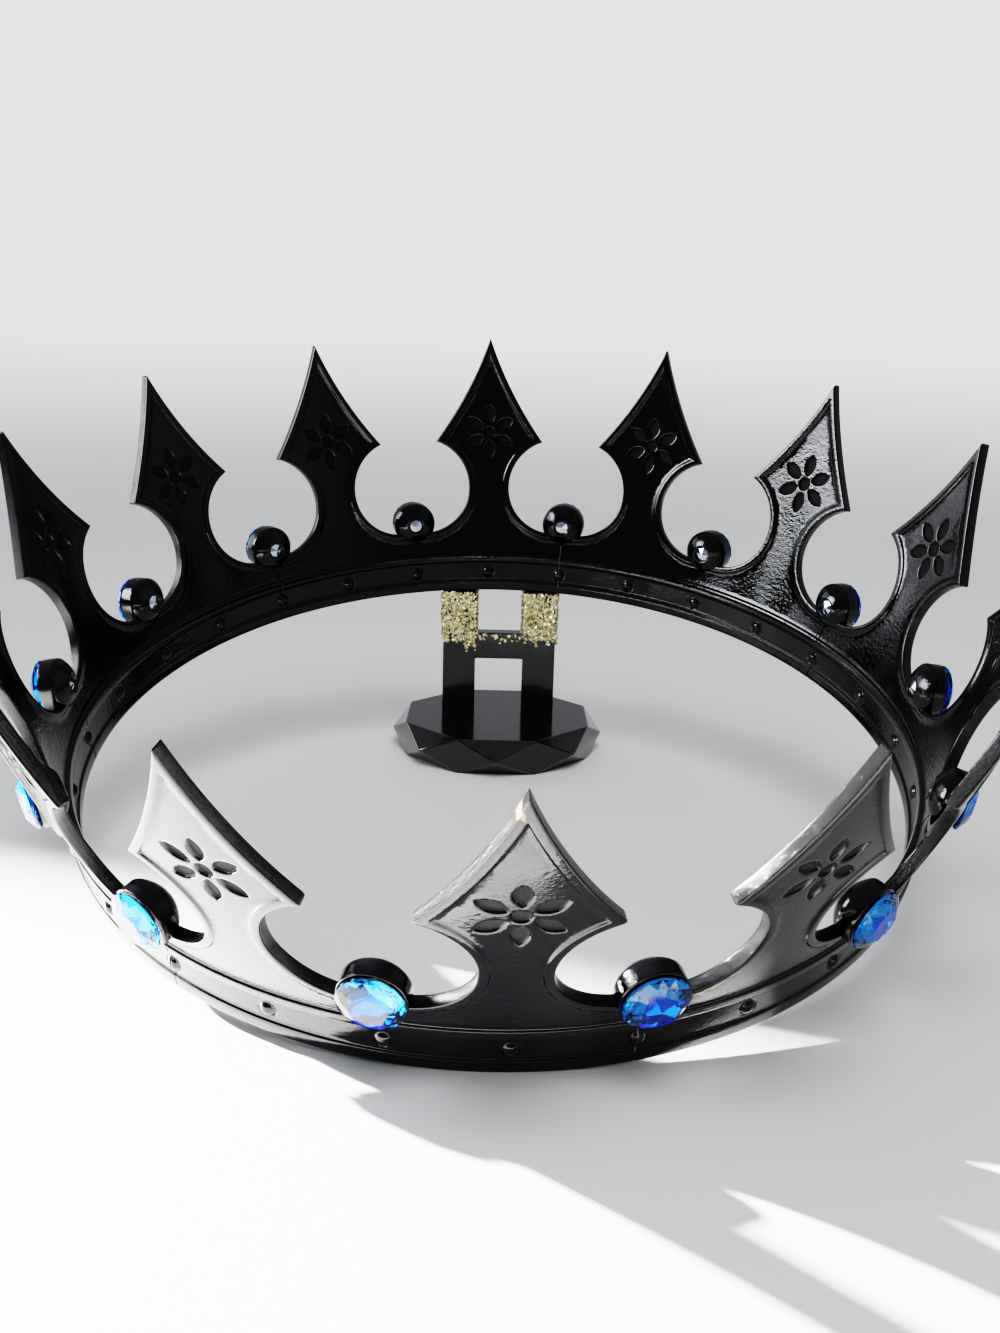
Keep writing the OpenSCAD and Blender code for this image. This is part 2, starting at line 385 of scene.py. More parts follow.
def half_thickness(u, s, edge_d, rim_slope):
    """Height of a face over the wall's middle; rim_slope is half a rim's inner slope."""
    half_u = half_a * wall_r(s)
    h = np.where(s < bend_s, strip_h, field_h)
    rim = 1 - rise(rim_w - rim_slope, rim_w + rim_slope, edge_d)
    h = h + (rim_h - field_h) * rim * (s > bend_s)
    ridge_from = rise(ridge_low_s - ridge_foot, ridge_low_s + ridge_brow, s)
    ridge_to = rise(ridge_high_s - ridge_brow, ridge_high_s + ridge_foot, s)
    h = h + (ridge_h - h) * (ridge_from * (1 - ridge_to))
    bead = 1 - rise(bead_s - bead_slope, bead_s + bead_slope, s)
    h = h + (rim_h - h) * bead
    h = h - pocket_depth * rise(-pocket_lip, pocket_wall, in_pocket(u, s))
    for at_u in (0, -half_u, half_u):
        h = h + rivet(u, s, at_u)
    for d in (edge_d, s):
        d = np.clip(d, 0, round_r)
        h = h - (round_r - np.sqrt(round_r ** 2 - (round_r - d) ** 2))
    return h


# The mesh of one spire's panel, laid flat.
# Rows of points follow every edge of the relief, also round the petals, rings stand round the
# rivets, a fine grid fills the flower and a wide one the rest; all are joined into triangles.
edge_rows = (0.07, 0.18, 0.38, 0.9, 1.42, 1.57, 1.7, 1.83, 1.98)
foot_rows = (0.07, 0.18, 0.38, 1.0, 1.8)
band_rows = (2.68, 2.8, 2.9, 3.0, 3.12, 3.9, 4.7, 5.5, 6.3, 7.1, 7.8,
             8.38, 8.5, 8.62, 8.74, 8.88, 9.4, 10.1, 10.62, 10.76, 10.9, 11.02, 11.14)
side_rows = (12, 13, 14, 14.8)
rivet_rings = (0.35, 0.7, 1.0, 1.25, 1.42, 1.5, 1.58, 1.72, 1.9, 2.1)
joint_columns = (0.08, 0.2, 0.4)
pocket_rows = (-0.13, -0.05, 0.03, 0.11, 0.19, 0.29)
wide_grid = 0.95
fine_grid = 0.3
flower_reach = 8.3
widest_r = 110.0
wide_from_s = 0.5
foot_points = 83
foot_step = 0.5
band_step = 0.55
pocket_step = 0.2
edge_room = 0.06
point_room = 0.05
ring_room = 0.09
band_room = 0.1
least_rise = 0.055
least_margin = 0.03
face_margin = 0.0005
weld = 0.00001


def side_line():
    """Heights of the points up the middle of a gap, from the foot to the gap's floor."""
    heights = [0, gap_floor_s, *foot_rows, *band_rows, *side_rows]
    heights += [gap_floor_s - d for d in edge_rows]
    heights += [rivet_s + side * ring for ring in rivet_rings for side in (-1, 1)]
    kept = []
    for s in sorted(heights):
        if not kept or s - kept[-1] > least_rise:
            kept.append(s)
    kept[-1] = gap_floor_s
    return np.array(kept)


def row_at(s, step):
    half_u = half_a * float(wall_r(s))
    u = np.linspace(-half_u, half_u, int(2 * half_u / step))[1:-1]
    return np.stack([u, np.full_like(u, s)], axis=-1)


def grid_round(low, high, step):
    """Points of a grid of triangles in a box."""
    rows = []
    for i, s in enumerate(np.arange(low[1], high[1], step * math.sqrt(3) / 2)):
        u = np.arange(low[0] + (i % 2) * step / 2, high[0], step)
        rows.append(np.stack([u, np.full_like(u, s)], axis=-1))
    return np.concatenate(rows)


def inner_points():
    """Every wanted inner point with the room that it needs round it, most wanted first."""
    wanted = []
    ahead = np.gradient(outline, axis=0)
    inward = np.stack([-ahead[:, 1], ahead[:, 0]], axis=-1)
    inward = inward / np.linalg.norm(ahead, axis=1)[:, None]
    off_line = 0.02
    for d in edge_rows:
        row = outline + inward * d
        row = row[(np.abs(from_outline(row) - d) < off_line) & (row[:, 0] > off_line)]
        wanted.append((np.concatenate([row, row * (-1, 1)]), edge_room))
        top = tip_s - d / math.sin(math.atan2(barb_u, tip_s - barb_s))
        wanted.append((np.array([[0.0, top]]), point_room))
    for ring in rivet_rings:
        turns = np.linspace(0, 2 * math.pi, 8 + int(ring * 16), endpoint=False)
        circle = ring * np.stack([np.cos(turns), np.sin(turns)], axis=-1)
        for at_u in (-1, 0, 1):
            middle = (at_u * half_a * float(wall_r(rivet_s)), rivet_s)
            wanted.append((circle + middle, ring_room))
    wanted.append((np.array([[0.0, rivet_s]]), point_room))
    for s in foot_rows[:3]:
        wanted.append((row_at(s, foot_step), point_room))
    for s in (*foot_rows[3:], *band_rows):
        wanted.append((row_at(s, band_step), band_room))
    for d in joint_columns:
        for s in side_line()[1:-1]:
            u = half_a * float(wall_r(s)) - d
            wanted.append((np.array([[u, s], [-u, s]]), point_room))
    for d in pocket_rows:
        wanted.append((pocket_line(d, pocket_step), edge_room))
    low, high = (-flower_reach, flower_s - flower_reach), (flower_reach, flower_s + flower_reach)
    flower = grid_round(low, high, fine_grid)
    near = np.hypot(flower[:, 0], flower[:, 1] - flower_s) < flower_reach
    wanted.append((flower[near], fine_grid * 0.7))
    low, high = (-half_a * widest_r, wide_from_s), (half_a * widest_r, tip_s)
    wanted.append((grid_round(low, high, wide_grid), wide_grid * 0.6))
    return wanted


def inside_panel(points, margin):
    """True for points inside the panel and at least margin away from its edge."""
    u, s = np.abs(points[:, 0]), points[:, 1]
    ok = (s > margin) & (u < half_a * wall_r(s) - margin)
    fence = np.concatenate([outline, [[0.0, 0.0], [outline[0][0], 0.0]]])
    crossings = np.zeros(len(points), int)
    for a, b in zip(fence, np.roll(fence, -1, axis=0)):
        spans = (a[1] > s) != (b[1] > s)
        if a[1] != b[1]:
            crossings += spans & (u < (b[0] - a[0]) * (s - a[1]) / (b[1] - a[1]) + a[0])
    below = s < gap_floor_s
    return ok & (below | (crossings % 2 == 1)) & (from_outline(points) > margin)


def spaced(start, wanted):
    """The start points and each wanted point that keeps its room from all kept before it."""
    cell = 0.3
    kept, cells = [], {}

    def put(p):
        cells.setdefault((int(p[0] // cell), int(p[1] // cell)), []).append(p)
        kept.append(p)

    for p in start:
        put(tuple(p))
    for points, room in wanted:
        reach = int(room // cell) + 1
        around = [(i, j) for i in range(-reach, reach + 1) for j in range(-reach, reach + 1)]
        for u, s in points[inside_panel(points, least_margin)]:
            cu, cs = int(u // cell), int(s // cell)
            close = (q for i, j in around for q in cells.get((cu + i, cs + j), ()))
            if all((q[0] - u) ** 2 + (q[1] - s) ** 2 > room * room for q in close):
                put((u, s))
    return np.array(kept)


def spire_panel():
    """Flat points, triangles, the numbers of the points round the edge, foot first and then
    up the right side, and how many points the foot and a side have."""
    heights = side_line()
    half_foot = half_a * foot_r
    foot_u = np.linspace(-half_foot, half_foot, foot_points)
    foot = np.stack([foot_u, np.zeros_like(foot_u)], axis=-1)
    right = np.stack([half_a * wall_r(heights), heights], axis=-1)[1:-1]
    left = right[::-1] * (-1, 1)
    loop = np.concatenate([foot, right, outline, outline[-2::-1] * (-1, 1), left])
    n = len(loop)
    points = spaced(loop, inner_points())
    edges = [(i, (i + 1) % n) for i in range(n)]
    points = [Vector(p) for p in points]
    verts, _, faces, origins, _, _ = delaunay_2d_cdt(points, edges, [], 0, weld)
    new_number = {old: new for new, olds in enumerate(origins) for old in olds}
    flat = np.array([tuple(v) for v in verts])
    faces = np.array([f for f in faces if len(f) == 3])
    faces = faces[inside_panel(flat[faces].mean(axis=1), face_margin)]
    a, b, c = flat[faces[:, 0]], flat[faces[:, 1]], flat[faces[:, 2]]
    turn = (b - a)[:, 0] * (c - a)[:, 1] - (b - a)[:, 1] * (c - a)[:, 0]
    faces = np.where(turn[:, None] < 0, faces[:, ::-1], faces)
    return flat, faces, [new_number[i] for i in range(n)], len(foot), len(right)


panel, panel_faces, panel_loop, foot_count, side_count = spire_panel()
panel_u, panel_s = panel[:, 0], panel[:, 1]
panel_edge_d = from_outline(panel)
panel_heights = {
    1: half_thickness(panel_u, panel_s, panel_edge_d, front_slope),
    -1: half_thickness(panel_u, panel_s, panel_edge_d, back_slope),
}
panel_sunk = rise(0.0, pocket_wall, in_pocket(panel_u, panel_s))
right_side = panel_loop[foot_count - 1:foot_count + side_count + 1]
left_side = [panel_loop[0], *panel_loop[:-side_count - 1:-1], panel_loop[-side_count - 1]]


# A setting.
# A short round tube printed with the wall at the foot of each gap. It leans a little down, is
# hollow in front for the stone's point, and shows some foil in an opening in its domed back.
setting_r = 5.9
setting_front_r = 98.8
setting_z = 19.1
setting_lean = math.radians(8)
setting_l = 3.2
dome_h = 3.0
opening_r = 2.1
opening_z = -5.3
hollow = ((0.0, -2.6), (5.2, -0.5), (5.45, -0.1), (5.6, 0.0))
lip = 0.22
tube_rows = (-1.2, -2.2, -2.9)
setting_sides = 64


def on_setting(k, points):
    """Points drawn on a setting, z out of the crown, put on the upright crown. k counts the
    spires from the front."""
    frame_of = (
        Matrix.Rotation(k * pitch_a, 3, "Z")
        @ Matrix.Rotation(math.radians(90) + setting_lean, 3, "X")
    )
    out = Matrix.Rotation(k * pitch_a, 3, "Z") @ Vector((0, -setting_front_r, setting_z))
    return np.asarray(points) @ np.array(frame_of).T + np.array(out)


def setting_profile():
    """Radii and heights from the middle of the hollow front round to the middle of the dome."""
    profile = list(hollow)
    for t in np.linspace(0, math.pi / 2, 4):
        profile.append((setting_r - lip + lip * math.sin(t), -lip + lip * math.cos(t)))
    profile += [(setting_r, z) for z in tube_rows]
    dome_r = (setting_r ** 2 + dome_h ** 2) / (2 * dome_h)
    dome_z = dome_r - setting_l - dome_h
    steepest = math.asin(setting_r / dome_r)
    for t in np.linspace(steepest * 0.97, math.asin((opening_r + 0.25) / dome_r), 12):
        profile.append((dome_r * math.sin(t), dome_z - dome_r * math.cos(t)))
    edge_z = profile[-1][1]
    profile += [(opening_r + 0.08, edge_z + 0.02), (opening_r, edge_z + 0.15)]
    return profile + [(opening_r, opening_z), (0.0, opening_z)]


def lathe(profile, sides):
    """Points and triangles of a profile turned about z; its two ends are on the axis."""
    rings = profile[1:-1]
    points = [(0.0, 0.0, profile[0][1])]
    turns = np.arange(sides) * 2 * math.pi / sides
    for r, z in rings:
        points += [(r * math.cos(t), r * math.sin(t), z) for t in turns]
    points.append((0.0, 0.0, profile[-1][1]))
    last = len(points) - 1
    faces = []
    for j in range(sides):
        k = (j + 1) % sides
        faces.append((0, 1 + j, 1 + k))
        faces.append((last, last - sides + k, last - sides + j))
        for i in range(len(rings) - 1):
            a, b = 1 + i * sides, 1 + (i + 1) * sides
            faces.append((a + j, b + j, b + k))
            faces.append((a + j, b + k, a + k))
    return np.array(points), np.array(faces)


setting_points, setting_faces = lathe(setting_profile(), setting_sides)


# The seven wall segments.
# Each is two panels and two settings, printed as one and glued to its neighbours with a
# hairline joint. The lacquer is worn off the tips of the front spire and of the one left of it.
seam_a = math.radians(0.03)
joint_round = 0.3
joint_depth = 0.8
worn_tips = {0: 0.72, 13: 0.58}
worn_s = tip_s - 3.3
worn_reach = (2.6, 0.6)
worn_across = (0.6, -0.5)
face_shift = 40.0
setting_shift = 17.0


def panel_side(k, side, left_joint, right_joint):
    """Points of one face of the panel at spire k, with its joints rounded and kept apart."""
    half_u = half_a * wall_r(panel_s)
    h = panel_heights[side]
    angle = panel_u / wall_r(panel_s)
    for joint, away in ((left_joint, half_u + panel_u), (right_joint, half_u - panel_u)):
        if joint:
            d = np.clip(away, 0, joint_round)
            arc = joint_round - np.sqrt(joint_round ** 2 - (joint_round - d) ** 2)
            h = h - arc * joint_depth
    if left_joint:
        angle = np.maximum(angle, seam_a - half_a)
    if right_joint:
        angle = np.minimum(angle, half_a - seam_a)
    return on_wall(k * pitch_a + angle, panel_s, side * h)


def worn_off(k):
    """How far the lacquer is worn off each point of the panel at spire k."""
    by_height = rise(*worn_reach, abs(worn_s - panel_s))
    return worn_tips.get(k % spires, 0.0) * by_height * rise(*worn_across, panel_u)


def wall_segment(n):
    """Points, triangles, and for each point its place in the lacquer's grain, how far the
    lacquer is worn off and how far it lies in a pocket."""
    first = 1 + per_segment * (n - 1)
    points, faces, place, worn, sunk = [], [], [], [], []
    count = len(panel)
    for i in range(per_segment):
        k = first + i
        joints = (i == 0, i == per_segment - 1)
        for side in (1, -1):
            points.append(panel_side(k, side, *joints))
            u = panel_u + k * 2 * half_a * foot_r
            place.append(np.stack([u, panel_s, np.full(count, side * face_shift + k)], axis=-1))
            worn.append(worn_off(k))
            sunk.append(panel_sunk)
        front, back = 2 * i * count, (2 * i + 1) * count
        faces += [panel_faces + front, panel_faces[:, ::-1] + back]
        loop = np.array(panel_loop)
        for a, b in zip(loop, np.roll(loop, -1)):
            on_right = a in right_set and b in right_set
            on_left = a in left_set and b in left_set
            if (on_right and not joints[1]) or (on_left and not joints[0]):
                continue
            a_front, a_back, b_front, b_back = front + a, back + a, front + b, back + b
            faces.append(np.array([(a_front, a_back, b_back), (a_front, b_back, b_front)]))
    faces = np.concatenate(faces)
    for i in range(per_segment - 1):
        same = np.arange(2 * per_segment * count)
        for side in (0, 1):
            here = (2 * i + side) * count
            there = (2 * (i + 1) + side) * count
            same[np.array(left_side) + there] = np.array(right_side) + here
        faces = same[faces]
    at = 2 * per_segment * count
    for i in range(per_segment):
        points.append(on_setting(first + i + 0.5, setting_points))
        faces = np.concatenate([faces, setting_faces + at])
        place.append(setting_points + (first + i) * setting_shift)
        worn.append(np.zeros(len(setting_points)))
        sunk.append(np.zeros(len(setting_points)))
        at += len(setting_points)
    points, place, worn, sunk = (np.concatenate(lists) for lists in (points, place, worn, sunk))
    return points, faces, place, worn, sunk


def new_mesh(name, points, faces, material, smooth=True):
    """A mesh object from points in metres and triangles, and which of the points it uses."""
    used, numbers = np.unique(faces, return_inverse=True)
    mesh = bpy.data.meshes.new(name)
    mesh.from_pydata(points[used].tolist(), [], numbers.reshape(faces.shape).tolist())
    mesh.polygons.foreach_set("use_smooth", [smooth] * len(mesh.polygons))
    mesh.materials.append(material)
    mesh.validate()
    piece = bpy.data.objects.new(name, mesh)
    bpy.context.scene.collection.objects.link(piece)
    return piece, used


def carry(piece, name, kind, values):
    """Give each point of a mesh a value, or a place, for the material to read."""
    key = "vector" if kind == "FLOAT_VECTOR" else "value"
    piece.data.attributes.new(name, kind, "POINT").data.foreach_set(key, values.ravel())


right_set = set(right_side)
left_set = set(left_side)
for n in range(1, spires // per_segment + 1):
    points, faces, place, worn, sunk = wall_segment(n)
    piece, used = new_mesh(f"wall_segment_{n}", seated(points), faces, lacquer)
    carry(piece, "wall_place", "FLOAT_VECTOR", place[used])
    carry(piece, "worn", "FLOAT", worn[used])
    carry(piece, "sunk", "FLOAT", sunk[used])
    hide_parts(f"segment_{n}")
    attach(piece, "root")


# The fourteen cut stones.
# Each is clear blue glass with a table, eight large and sixteen small bevels and a thin
# girdle; its pointed back is covered with foil and sits in the hollow of the setting.
stone_r = 5.75
stone_h = 2.5
glue = 0.1
stone_cut = (  # radius, height, sides and turn, in sides, of each ring of corners
    (3.2, stone_h, 8, 0.0),
    (stone_r - 1.1, stone_h - 0.8, 16, 0.5),
    (stone_r, 0.95, 16, 0.0),
    (stone_r, 0.5, 16, 0.0),
    (stone_r - 0.45, 0.2, 16, 0.0),
    (2.9, -1.25, 8, 0.5),
)
stone_point_z = -2.1
foil_below_z = 0.25
foil_room = 0.03
tip_sides = 8


def stone_glass():
    paint = Paint(bpy.data.materials.new("blue_stone_glass"))
    fine = paint.noise(paint.node("TexCoord", out="Object"), 900.0, 1.0)
    return paint.finish(
        Base_Color=(0.02, 0.28, 0.85, 1.0),
        Roughness=fine * 0.03,
        IOR=1.5,
        Transmission_Weight=1.0,
    )


def stone_foil():
    paint = Paint(bpy.data.materials.new("stone_foil"))
    fine = paint.noise(paint.node("TexCoord", out="Object"), 2500.0, 1.0)
    silver = (0.75, 0.85, 1.0, 1.0)
    return paint.finish(Base_Color=silver, Metallic=1.0, Roughness=0.04 + fine * 0.08)


def ring(r, z, sides, turn=0.0):
    turns = (np.arange(sides) + turn) * 2 * math.pi / sides
    return [Vector((r * math.cos(t), r * math.sin(t), z)) for t in turns]


def cut_stone():
    """Points and faces of the glass, and which faces are the foiled back."""
    shape = bmesh.new()
    for r, z, sides, turn in stone_cut:
        for p in ring(r, z, sides, turn):
            shape.verts.new(p)
    shape.verts.new((0, 0, stone_point_z))
    hull = bmesh.ops.convex_hull(shape, input=shape.verts)
    loose = [v for v in hull["geom_interior"] if isinstance(v, bmesh.types.BMVert)]
    bmesh.ops.delete(shape, geom=loose, context="VERTS")
    bmesh.ops.recalc_face_normals(shape, faces=shape.faces)
    bmesh.ops.triangulate(shape, faces=shape.faces)
    shape.verts.index_update()
    points = np.array([tuple(v.co) for v in shape.verts])
    faces = np.array([[v.index for v in f.verts] for f in shape.faces])
    back = points[faces][:, :, 2].max(axis=1) < foil_below_z
    shape.free()
    return points, faces, back


stone_points, stone_faces, stone_back = cut_stone()
foil_points = stone_points * (1.01, 1.01, 1.0) - (0, 0, foil_room)
tip_ring = ring(opening_r - 0.1, opening_z - 0.02, tip_sides)
tip_points = np.array([tuple(v) for v in tip_ring + [Vector((0, 0, opening_z - 0.62))]])
tip_faces = np.array([(tip_sides, (i + 1) % tip_sides, i) for i in range(tip_sides)])
foiled_stone = np.concatenate([stone_points, foil_points, tip_points]) + (0, 0, glue)
faces = np.concatenate([
    stone_faces,
    stone_faces[stone_back][:, ::-1] + len(stone_points),
    tip_faces + 2 * len(stone_points),
])
slots = [0] * len(stone_faces) + [1] * (int(stone_back.sum()) + len(tip_faces))
glass = stone_glass()
foil = stone_foil()
for n in range(1, spires + 1):
    points = seated(on_setting(n - 0.5, foiled_stone))
    piece, _ = new_mesh(f"cut_stone_{n}", points, faces, glass, smooth=False)
    piece.data.materials.append(foil)
    piece.data.polygons.foreach_set("material_index", slots)
    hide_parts(f"stone_{n}")
    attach(piece, "root")


# The stand's base.
# A heavy-looking faceted disc of glossy black plastic: an eight-sided top and bottom with a
# wider eight-sided girdle turned half a side between them, and edges that are slightly soft.
base_r = (base_high.x - base_low.x) / 2 / MM
base_t = base_high.z / MM
rim_ratio = 0.915
base_edge = 0.3
base_centre = Vector((0, (base_low.y + base_high.y) / 2 / MM, 0))


def black_plastic():
    paint = Paint(bpy.data.materials.new("black_plastic"))
    place = paint.stretched(paint.node("TexCoord", out="Object"), (1 / MM, 1 / MM, 1 / MM))
    ripple = paint.noise(place, 0.16, 2.0)
    dust = paint.step(paint.noise(place, 3.0, 3.0), 0.62, 0.75)
    black = (0.006, 0.006, 0.007, 1.0)
    dusty = (0.05, 0.05, 0.052, 1.0)
    return paint.finish(
        Base_Color=paint.mix(dust * 0.35, black, dusty),
        Roughness=0.12 + dust * 0.2 + ripple * 0.08,
        Normal=paint.bump(ripple * 0.09),
        IOR=1.6,
        Coat_Weight=0.6,
        Coat_Roughness=0.06,
    )


def from_bmesh(name, shape, material):
    """A flat-sided mesh object from a shape drawn in millimetres."""
    mesh = bpy.data.meshes.new(name)
    shape.to_mesh(mesh)
    shape.free()
    mesh.transform(Matrix.Scale(MM, 4))
    mesh.materials.append(material)
    mesh.polygons.foreach_set("use_smooth", [False] * len(mesh.polygons))
    piece = bpy.data.objects.new(name, mesh)
    bpy.context.scene.collection.objects.link(piece)
    return piece


def soften(shape, width):
    """Round every edge of a shape a little."""
    bmesh.ops.bevel(
        shape, geom=shape.edges, offset=width, segments=2, profile=0.6, affect="EDGES"
    )


def stand_base():
    shape = bmesh.new()
    low, high = (ring(base_r * rim_ratio, z, 8, 0.5) for z in (0, base_t))
    for p in low + ring(base_r, base_t / 2, 8) + high:
        shape.verts.new(p + base_centre)
    bmesh.ops.convex_hull(shape, input=shape.verts)
    nearly_flat = 0.02
    bmesh.ops.dissolve_limit(
        shape, angle_limit=nearly_flat, verts=shape.verts, edges=shape.edges
    )
    soften(shape, base_edge)
    bmesh.ops.recalc_face_normals(shape, faces=shape.faces)
    return shape


plastic = black_plastic()
piece = from_bmesh("stand_base_faceted", stand_base(), plastic)
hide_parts("stand_base")
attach(piece, "root")


# The stand's posts.
# Two flat posts joined by a crossbar, of the same black plastic. Their tops slope, and the
# crown's back edge lies on them.
post_w = 9.6
post_gap = 14.0
bar_z = 25.5
bar_h = 7.8
post_edge = 0.35
crown_clear = 0.1
post_front = posts_low.y / MM
post_back = posts_high.y / MM


def post_top(y):
    """Height at which a post ends under the crown's foot."""
    return (y - front_y) * math.tan(crown_lean) - crown_clear / math.cos(crown_lean)


def stand_posts():
    inner, outer = post_gap / 2, post_gap / 2 + post_w
    bar_top = bar_z + bar_h
    shape = bmesh.new()
    sides = []
    for y in (post_front, post_back):
        top = post_top(y)
        corners = (
            (-outer, base_t), (-inner, base_t), (-inner, bar_z), (inner, bar_z),
            (inner, base_t), (outer, base_t), (outer, top), (inner, top),
            (inner, bar_top), (-inner, bar_top), (-inner, top), (-outer, top),
        )
        sides.append([shape.verts.new((x, y, z)) for x, z in corners])
    shape.faces.new(sides[0])
    shape.faces.new(sides[1][::-1])
    for i in range(len(corners)):
        j = (i + 1) % len(corners)
        shape.faces.new((sides[0][j], sides[0][i], sides[1][i], sides[1][j]))
    bmesh.ops.recalc_face_normals(shape, faces=shape.faces)
    soften(shape, post_edge)
    return shape


piece = from_bmesh("stand_posts_joined", stand_posts(), plastic)
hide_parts("stand_posts")
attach(piece, "root")


# The glitter.
# Coarse champagne-gold flakes glued round the upper half of both posts, with a ragged lower
# edge and a few strays on the crossbar.
flake_r = 0.42
flake_size = (0.6, 1.25)
flake_tilt = 0.45
flake_sides = 6
flake_lift = 0.12
pile_h = 0.45
flake_count = 5200
stray_count = 46
lowest_flake_z = 26.0
ragged_z = 31.2
dip_x, dip_w, dip_h = -8.5, 2.6, 2.6
wave_h, wave_turn = 0.8, 2.1
stray_z = (29.5, 33.0, 33.2)


def gold_flakes():
    paint = Paint(bpy.data.materials.new("gold_flakes"))
    tone = paint.attribute("tone", "Fac")
    stops = [
        (0.0, (0.6, 0.47, 0.22)),
        (0.4, (1.0, 0.88, 0.52)),
        (0.75, (1.0, 0.97, 0.7)),
        (1.0, (1.0, 0.99, 0.88)),
    ]
    colour = paint.node("ValToRGB", {"stops": stops}, {"Fac": tone})
    return paint.finish(Base_Color=colour, Metallic=0.6, Roughness=0.2 + tone * 0.2)


def flake_edge(x, dice):
    """Height of the ragged lower edge of the glitter."""
    dip = dip_h * math.exp(-((x - dip_x) / dip_w) ** 2)
    return ragged_z - dip + wave_h * math.sin(x * wave_turn) + dice.uniform(-1.0, 1.0)


def flake_spots(dice):
    """Places and outward directions of the flakes, spread evenly over the posts' sides."""
    depth = post_back - post_front
    faces_of_post = ((0, -1, post_w), (0, 1, post_w), (-1, 0, depth), (1, 0, depth))
    widths = np.array([f[2] for f in faces_of_post])
    while True:
        side = dice.choice([-1, 1])
        nx, ny, width = faces_of_post[dice.choice(4, p=widths / widths.sum())]
        along = dice.uniform(-0.5, 0.5) * width
        x = side * (post_gap + post_w) / 2 + (nx * post_w / 2 if nx else along)
        y = (post_front + post_back) / 2 + (ny * depth / 2 if ny else along)
        z = dice.uniform(lowest_flake_z, post_top(y) - post_edge)
        if z > flake_edge(x, dice):
            yield (x, y, z), (nx, ny, 0)


def glitter():
    dice = np.random.default_rng(11)
    spots = flake_spots(dice)
    chosen = [next(spots) for _ in range(flake_count)]
    for _ in range(stray_count):
        x = dice.uniform(-post_gap / 2, post_gap / 2 + post_w * 0.4)
        chosen.append(((x, post_front, dice.triangular(*stray_z)), (0, -1, 0)))
    points, faces, tones = [], [], []
    for spot, outward in chosen:
        outward = Vector(outward)
        normal = (outward + Vector(dice.normal(0, flake_tilt, 3))).normalized()
        across = normal.orthogonal().normalized()
        beside = normal.cross(across)
        r = flake_r * dice.uniform(*flake_size)
        centre = Vector(spot) + outward * (flake_lift + dice.uniform(0.0, pile_h))
        turn = dice.uniform(0, math.pi)
        start = len(points)
        for i in range(flake_sides):
            a = turn + i * 2 * math.pi / flake_sides
            points.append(centre + r * (math.cos(a) * across + math.sin(a) * beside))
        faces += [(start, start + i, start + i + 1) for i in range(1, flake_sides - 1)]
        tones += [dice.uniform()] * flake_sides
    return np.array([tuple(p) for p in points]) * MM, np.array(faces), np.array(tones)


points, faces, tones = glitter()
piece, used = new_mesh("gold_glitter", points, faces, gold_flakes(), smooth=False)
carry(piece, "tone", "FLOAT", tones[used])
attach(piece, "root")


# The floor.
# A plain pale sheet lies flat under the crown. A second sheet of the same kind carries on
# from its edge and curves up far away all round; it only closes the view. Its material glows
# from a little way up the curve: painted light that makes the far backdrop lighter higher up.
flat_r = 0.5
curve_r = 0.9
curve_top_z = 2.6
floor_z = -0.00002
middle_r = 0.00001
floor_sides = 96


def pale_sheet(name, glow):
    paint = Paint(bpy.data.materials.new(name))
    place = paint.node("TexCoord", out="Object")
    clouds = paint.noise(place, 3.0, 2.0)
    height = paint.node("SeparateXYZ", None, {0: place}, out="Z")
    # Painted light: the glow is nothing at floor level and full from 0.15 up the sheet, so a
    # curved backdrop reads lighter higher up
    painted_glow_rise = paint.step(height, 0.0, 0.15)
    greyer, paler = (0.78, 0.777, 0.77, 1.0), (0.83, 0.828, 0.822, 1.0)
    unlit, lit = (0.0, 0.0, 0.0, 1.0), (0.97, 0.96, 0.945, 1.0)
    return paint.finish(
        Base_Color=paint.mix(clouds, greyer, paler),
        Roughness=0.5,
        Emission_Color=paint.mix(painted_glow_rise, unlit, lit),
        Emission_Strength=glow,
    )


def round_sheet(rings):
    """Points and triangles of a round sheet, from the radius and height of its rings."""
    turns = np.arange(floor_sides) * 2 * math.pi / floor_sides
    points = [(r * math.cos(t), r * math.sin(t), z) for r, z in rings for t in turns]
    faces = []
    for i in range(len(rings) - 1):
        for j in range(floor_sides):
            a, b = i * floor_sides + j, i * floor_sides + (j + 1) % floor_sides
            faces += [(a, a + floor_sides, b + floor_sides), (a, b + floor_sides, b)]
    return np.array(points), np.array(faces)


def lay(name, rings, glow):
    points, faces = round_sheet(rings)
    floor, _ = new_mesh(name, points, faces, pale_sheet(name, glow))
    return floor


lay("floor", [(r, floor_z) for r in (middle_r, flat_r / 2, flat_r)], 0.0)
curve_rings = [(flat_r, floor_z)]
for t in np.linspace(0.06, math.pi / 2, 20):
    curve_rings.append((flat_r + curve_r * math.sin(t), curve_r * (1 - math.cos(t))))
curve_rings.append((flat_r + curve_r + 0.001, curve_top_z))
# The far curve glows (painted light); the flat floor under the crown doesn't
far_curve = lay("floor_far_curve", curve_rings, 0.5)
far_curve.visible_glossy = False
far_curve.visible_diffuse = False
far_curve.visible_transmission = False
far_curve.visible_shadow = False


# The light.
# One lamp stands low at the left and a little behind. Its pool of light ends under the crown
# and carries the crown's shadow to the right. The room's own light is weak, cool and soft.
lamp_from = math.radians(152)
lamp_up = math.radians(22)
lamp_far = 1.5
pool = Vector((-0.053, -0.142, 0.0))


def hang(light, place, turn):
    holder = bpy.data.objects.new(light.name, light)
    bpy.context.scene.collection.objects.link(holder)
    holder.location = place
    holder.rotation_euler = turn
    return holder


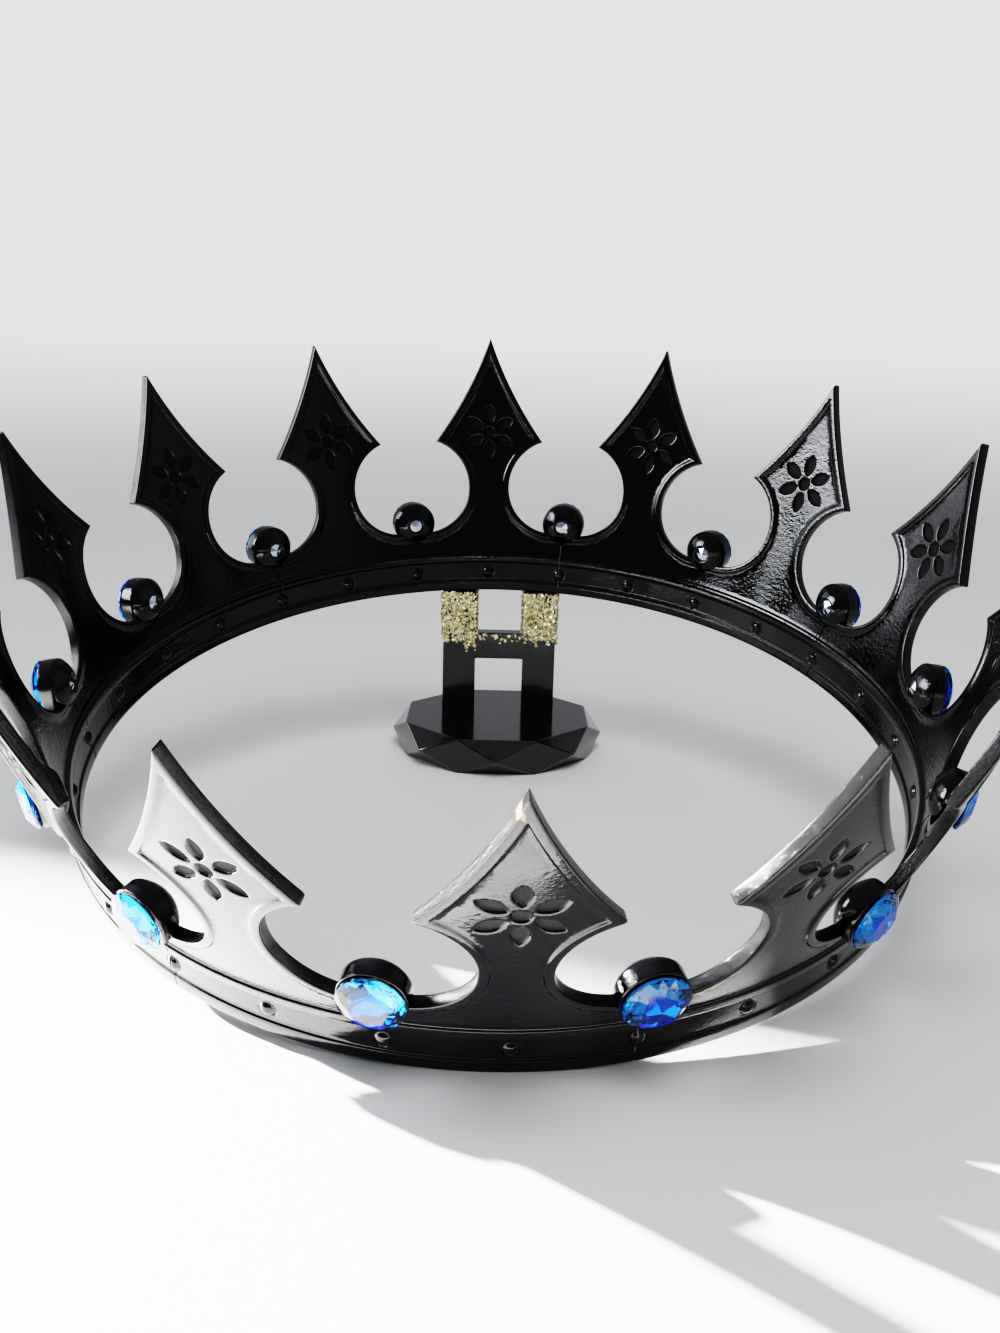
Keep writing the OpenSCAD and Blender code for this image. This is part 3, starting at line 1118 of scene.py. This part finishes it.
lamp = bpy.data.lights.new("lamp", "SPOT")
lamp.energy = 1260.0
lamp.shadow_soft_size = 0.02
lamp.spot_size = math.radians(8.0)
lamp.spot_blend = 0.14
lamp.color = (1.0, 0.98, 0.95)
level = math.cos(lamp_up)
towards_lamp = Vector((
    math.cos(lamp_from) * level, math.sin(lamp_from) * level, math.sin(lamp_up)
))
lamp_turn = towards_lamp.to_track_quat("Z", "Y").to_euler()
hang(lamp, pool + towards_lamp * lamp_far, lamp_turn)

# A wide weak light overhead, which the lacquer doesn't mirror
fill = bpy.data.lights.new("fill", "AREA")
fill.shape = "DISK"
fill.size = 1.2
fill.energy = 12.0
fill_far = 1.8
towards_fill = Vector((0.1, -0.5, 1.0)).normalized()
fill_turn = towards_fill.to_track_quat("Z", "Y").to_euler()
fill_holder = hang(fill, towards_fill * fill_far, fill_turn)
fill_holder.visible_glossy = False
fill_holder.visible_transmission = False

# A bright window at the left, which the second spire right of the back one mirrors
window = bpy.data.lights.new("window", "AREA")
window.shape = "RECTANGLE"
window.size, window.size_y = 0.34, 0.276
window_glow = 10.5
window.energy = window_glow * math.pi * window.size * window.size_y
window.color = (0.93, 0.96, 1.0)
window_turn = (math.radians(90), 0, math.radians(-90))
window_holder = hang(window, (-0.5, -0.05, 0.292), window_turn)
window_holder.visible_camera = False
window_holder.visible_diffuse = False


def room_light():
    """A weak even light all round, with four soft bright places that the lacquer mirrors."""
    paint = Paint(bpy.data.worlds.new("room_light"), "Background")
    towards = paint.node("TexCoord", out="Generated")

    def facing(direction, low, high):
        both = {0: towards, 1: Vector(direction).normalized()}
        along = paint.node("VectorMath", {"operation": "DOT_PRODUCT"}, both, out="Value")
        return paint.step(along, low, high)

    overhead = facing((-0.2, 0.1, 1.0), 0.3, 1.0) * 0.12
    beside = facing((-0.88, 0.44, 0.22), 0.92, 0.985) * 1.7
    behind = facing((0.0, 0.95, 0.3), 0.8, 0.98) * 0.08
    across = facing((1.0, -0.09, 0.08), 0.6, 0.85) * 0.17
    all_round = 0.13
    strength = overhead + beside + behind + across + all_round
    return paint.finish(Color=(0.93, 0.96, 1.0, 1.0), Strength=strength)


bpy.context.scene.world = room_light()
view = bpy.context.scene.view_settings
view.view_transform = "Filmic"
view.look = "Very High Contrast"
view.exposure = 0.45


# The camera.
# It stands where the photograph was taken: above the floor in front of the crown, tipped
# down, with the spire that is nearest to it a little right of the middle.
picture_w, picture_h = 1000, 1333
focal_px = 1243.0
eye = (-9.34, -239.4, 157.15)
yaw, pitch, roll = -0.0408, -0.5051, -0.0254
aim = Matrix.Rotation(yaw, 3, "Z") @ Matrix.Rotation(pitch, 3, "X")
aim = seat.to_3x3() @ (aim @ Matrix.Rotation(roll, 3, "Y"))
right, ahead, up = aim.col[0], aim.col[1], aim.col[2]
camera = bpy.data.cameras.new("camera")
camera.sensor_width = 36.0
camera.lens = focal_px / max(picture_w, picture_h) * camera.sensor_width
camera.clip_start = 0.01
camera.clip_end = 20.0
holder = bpy.data.objects.new("camera", camera)
bpy.context.scene.collection.objects.link(holder)
facing_crown = Matrix((right, up, -ahead)).transposed().to_4x4()
holder.matrix_world = Matrix.Translation(Vector(seated([eye])[0])) @ facing_crown
bpy.context.scene.camera = holder
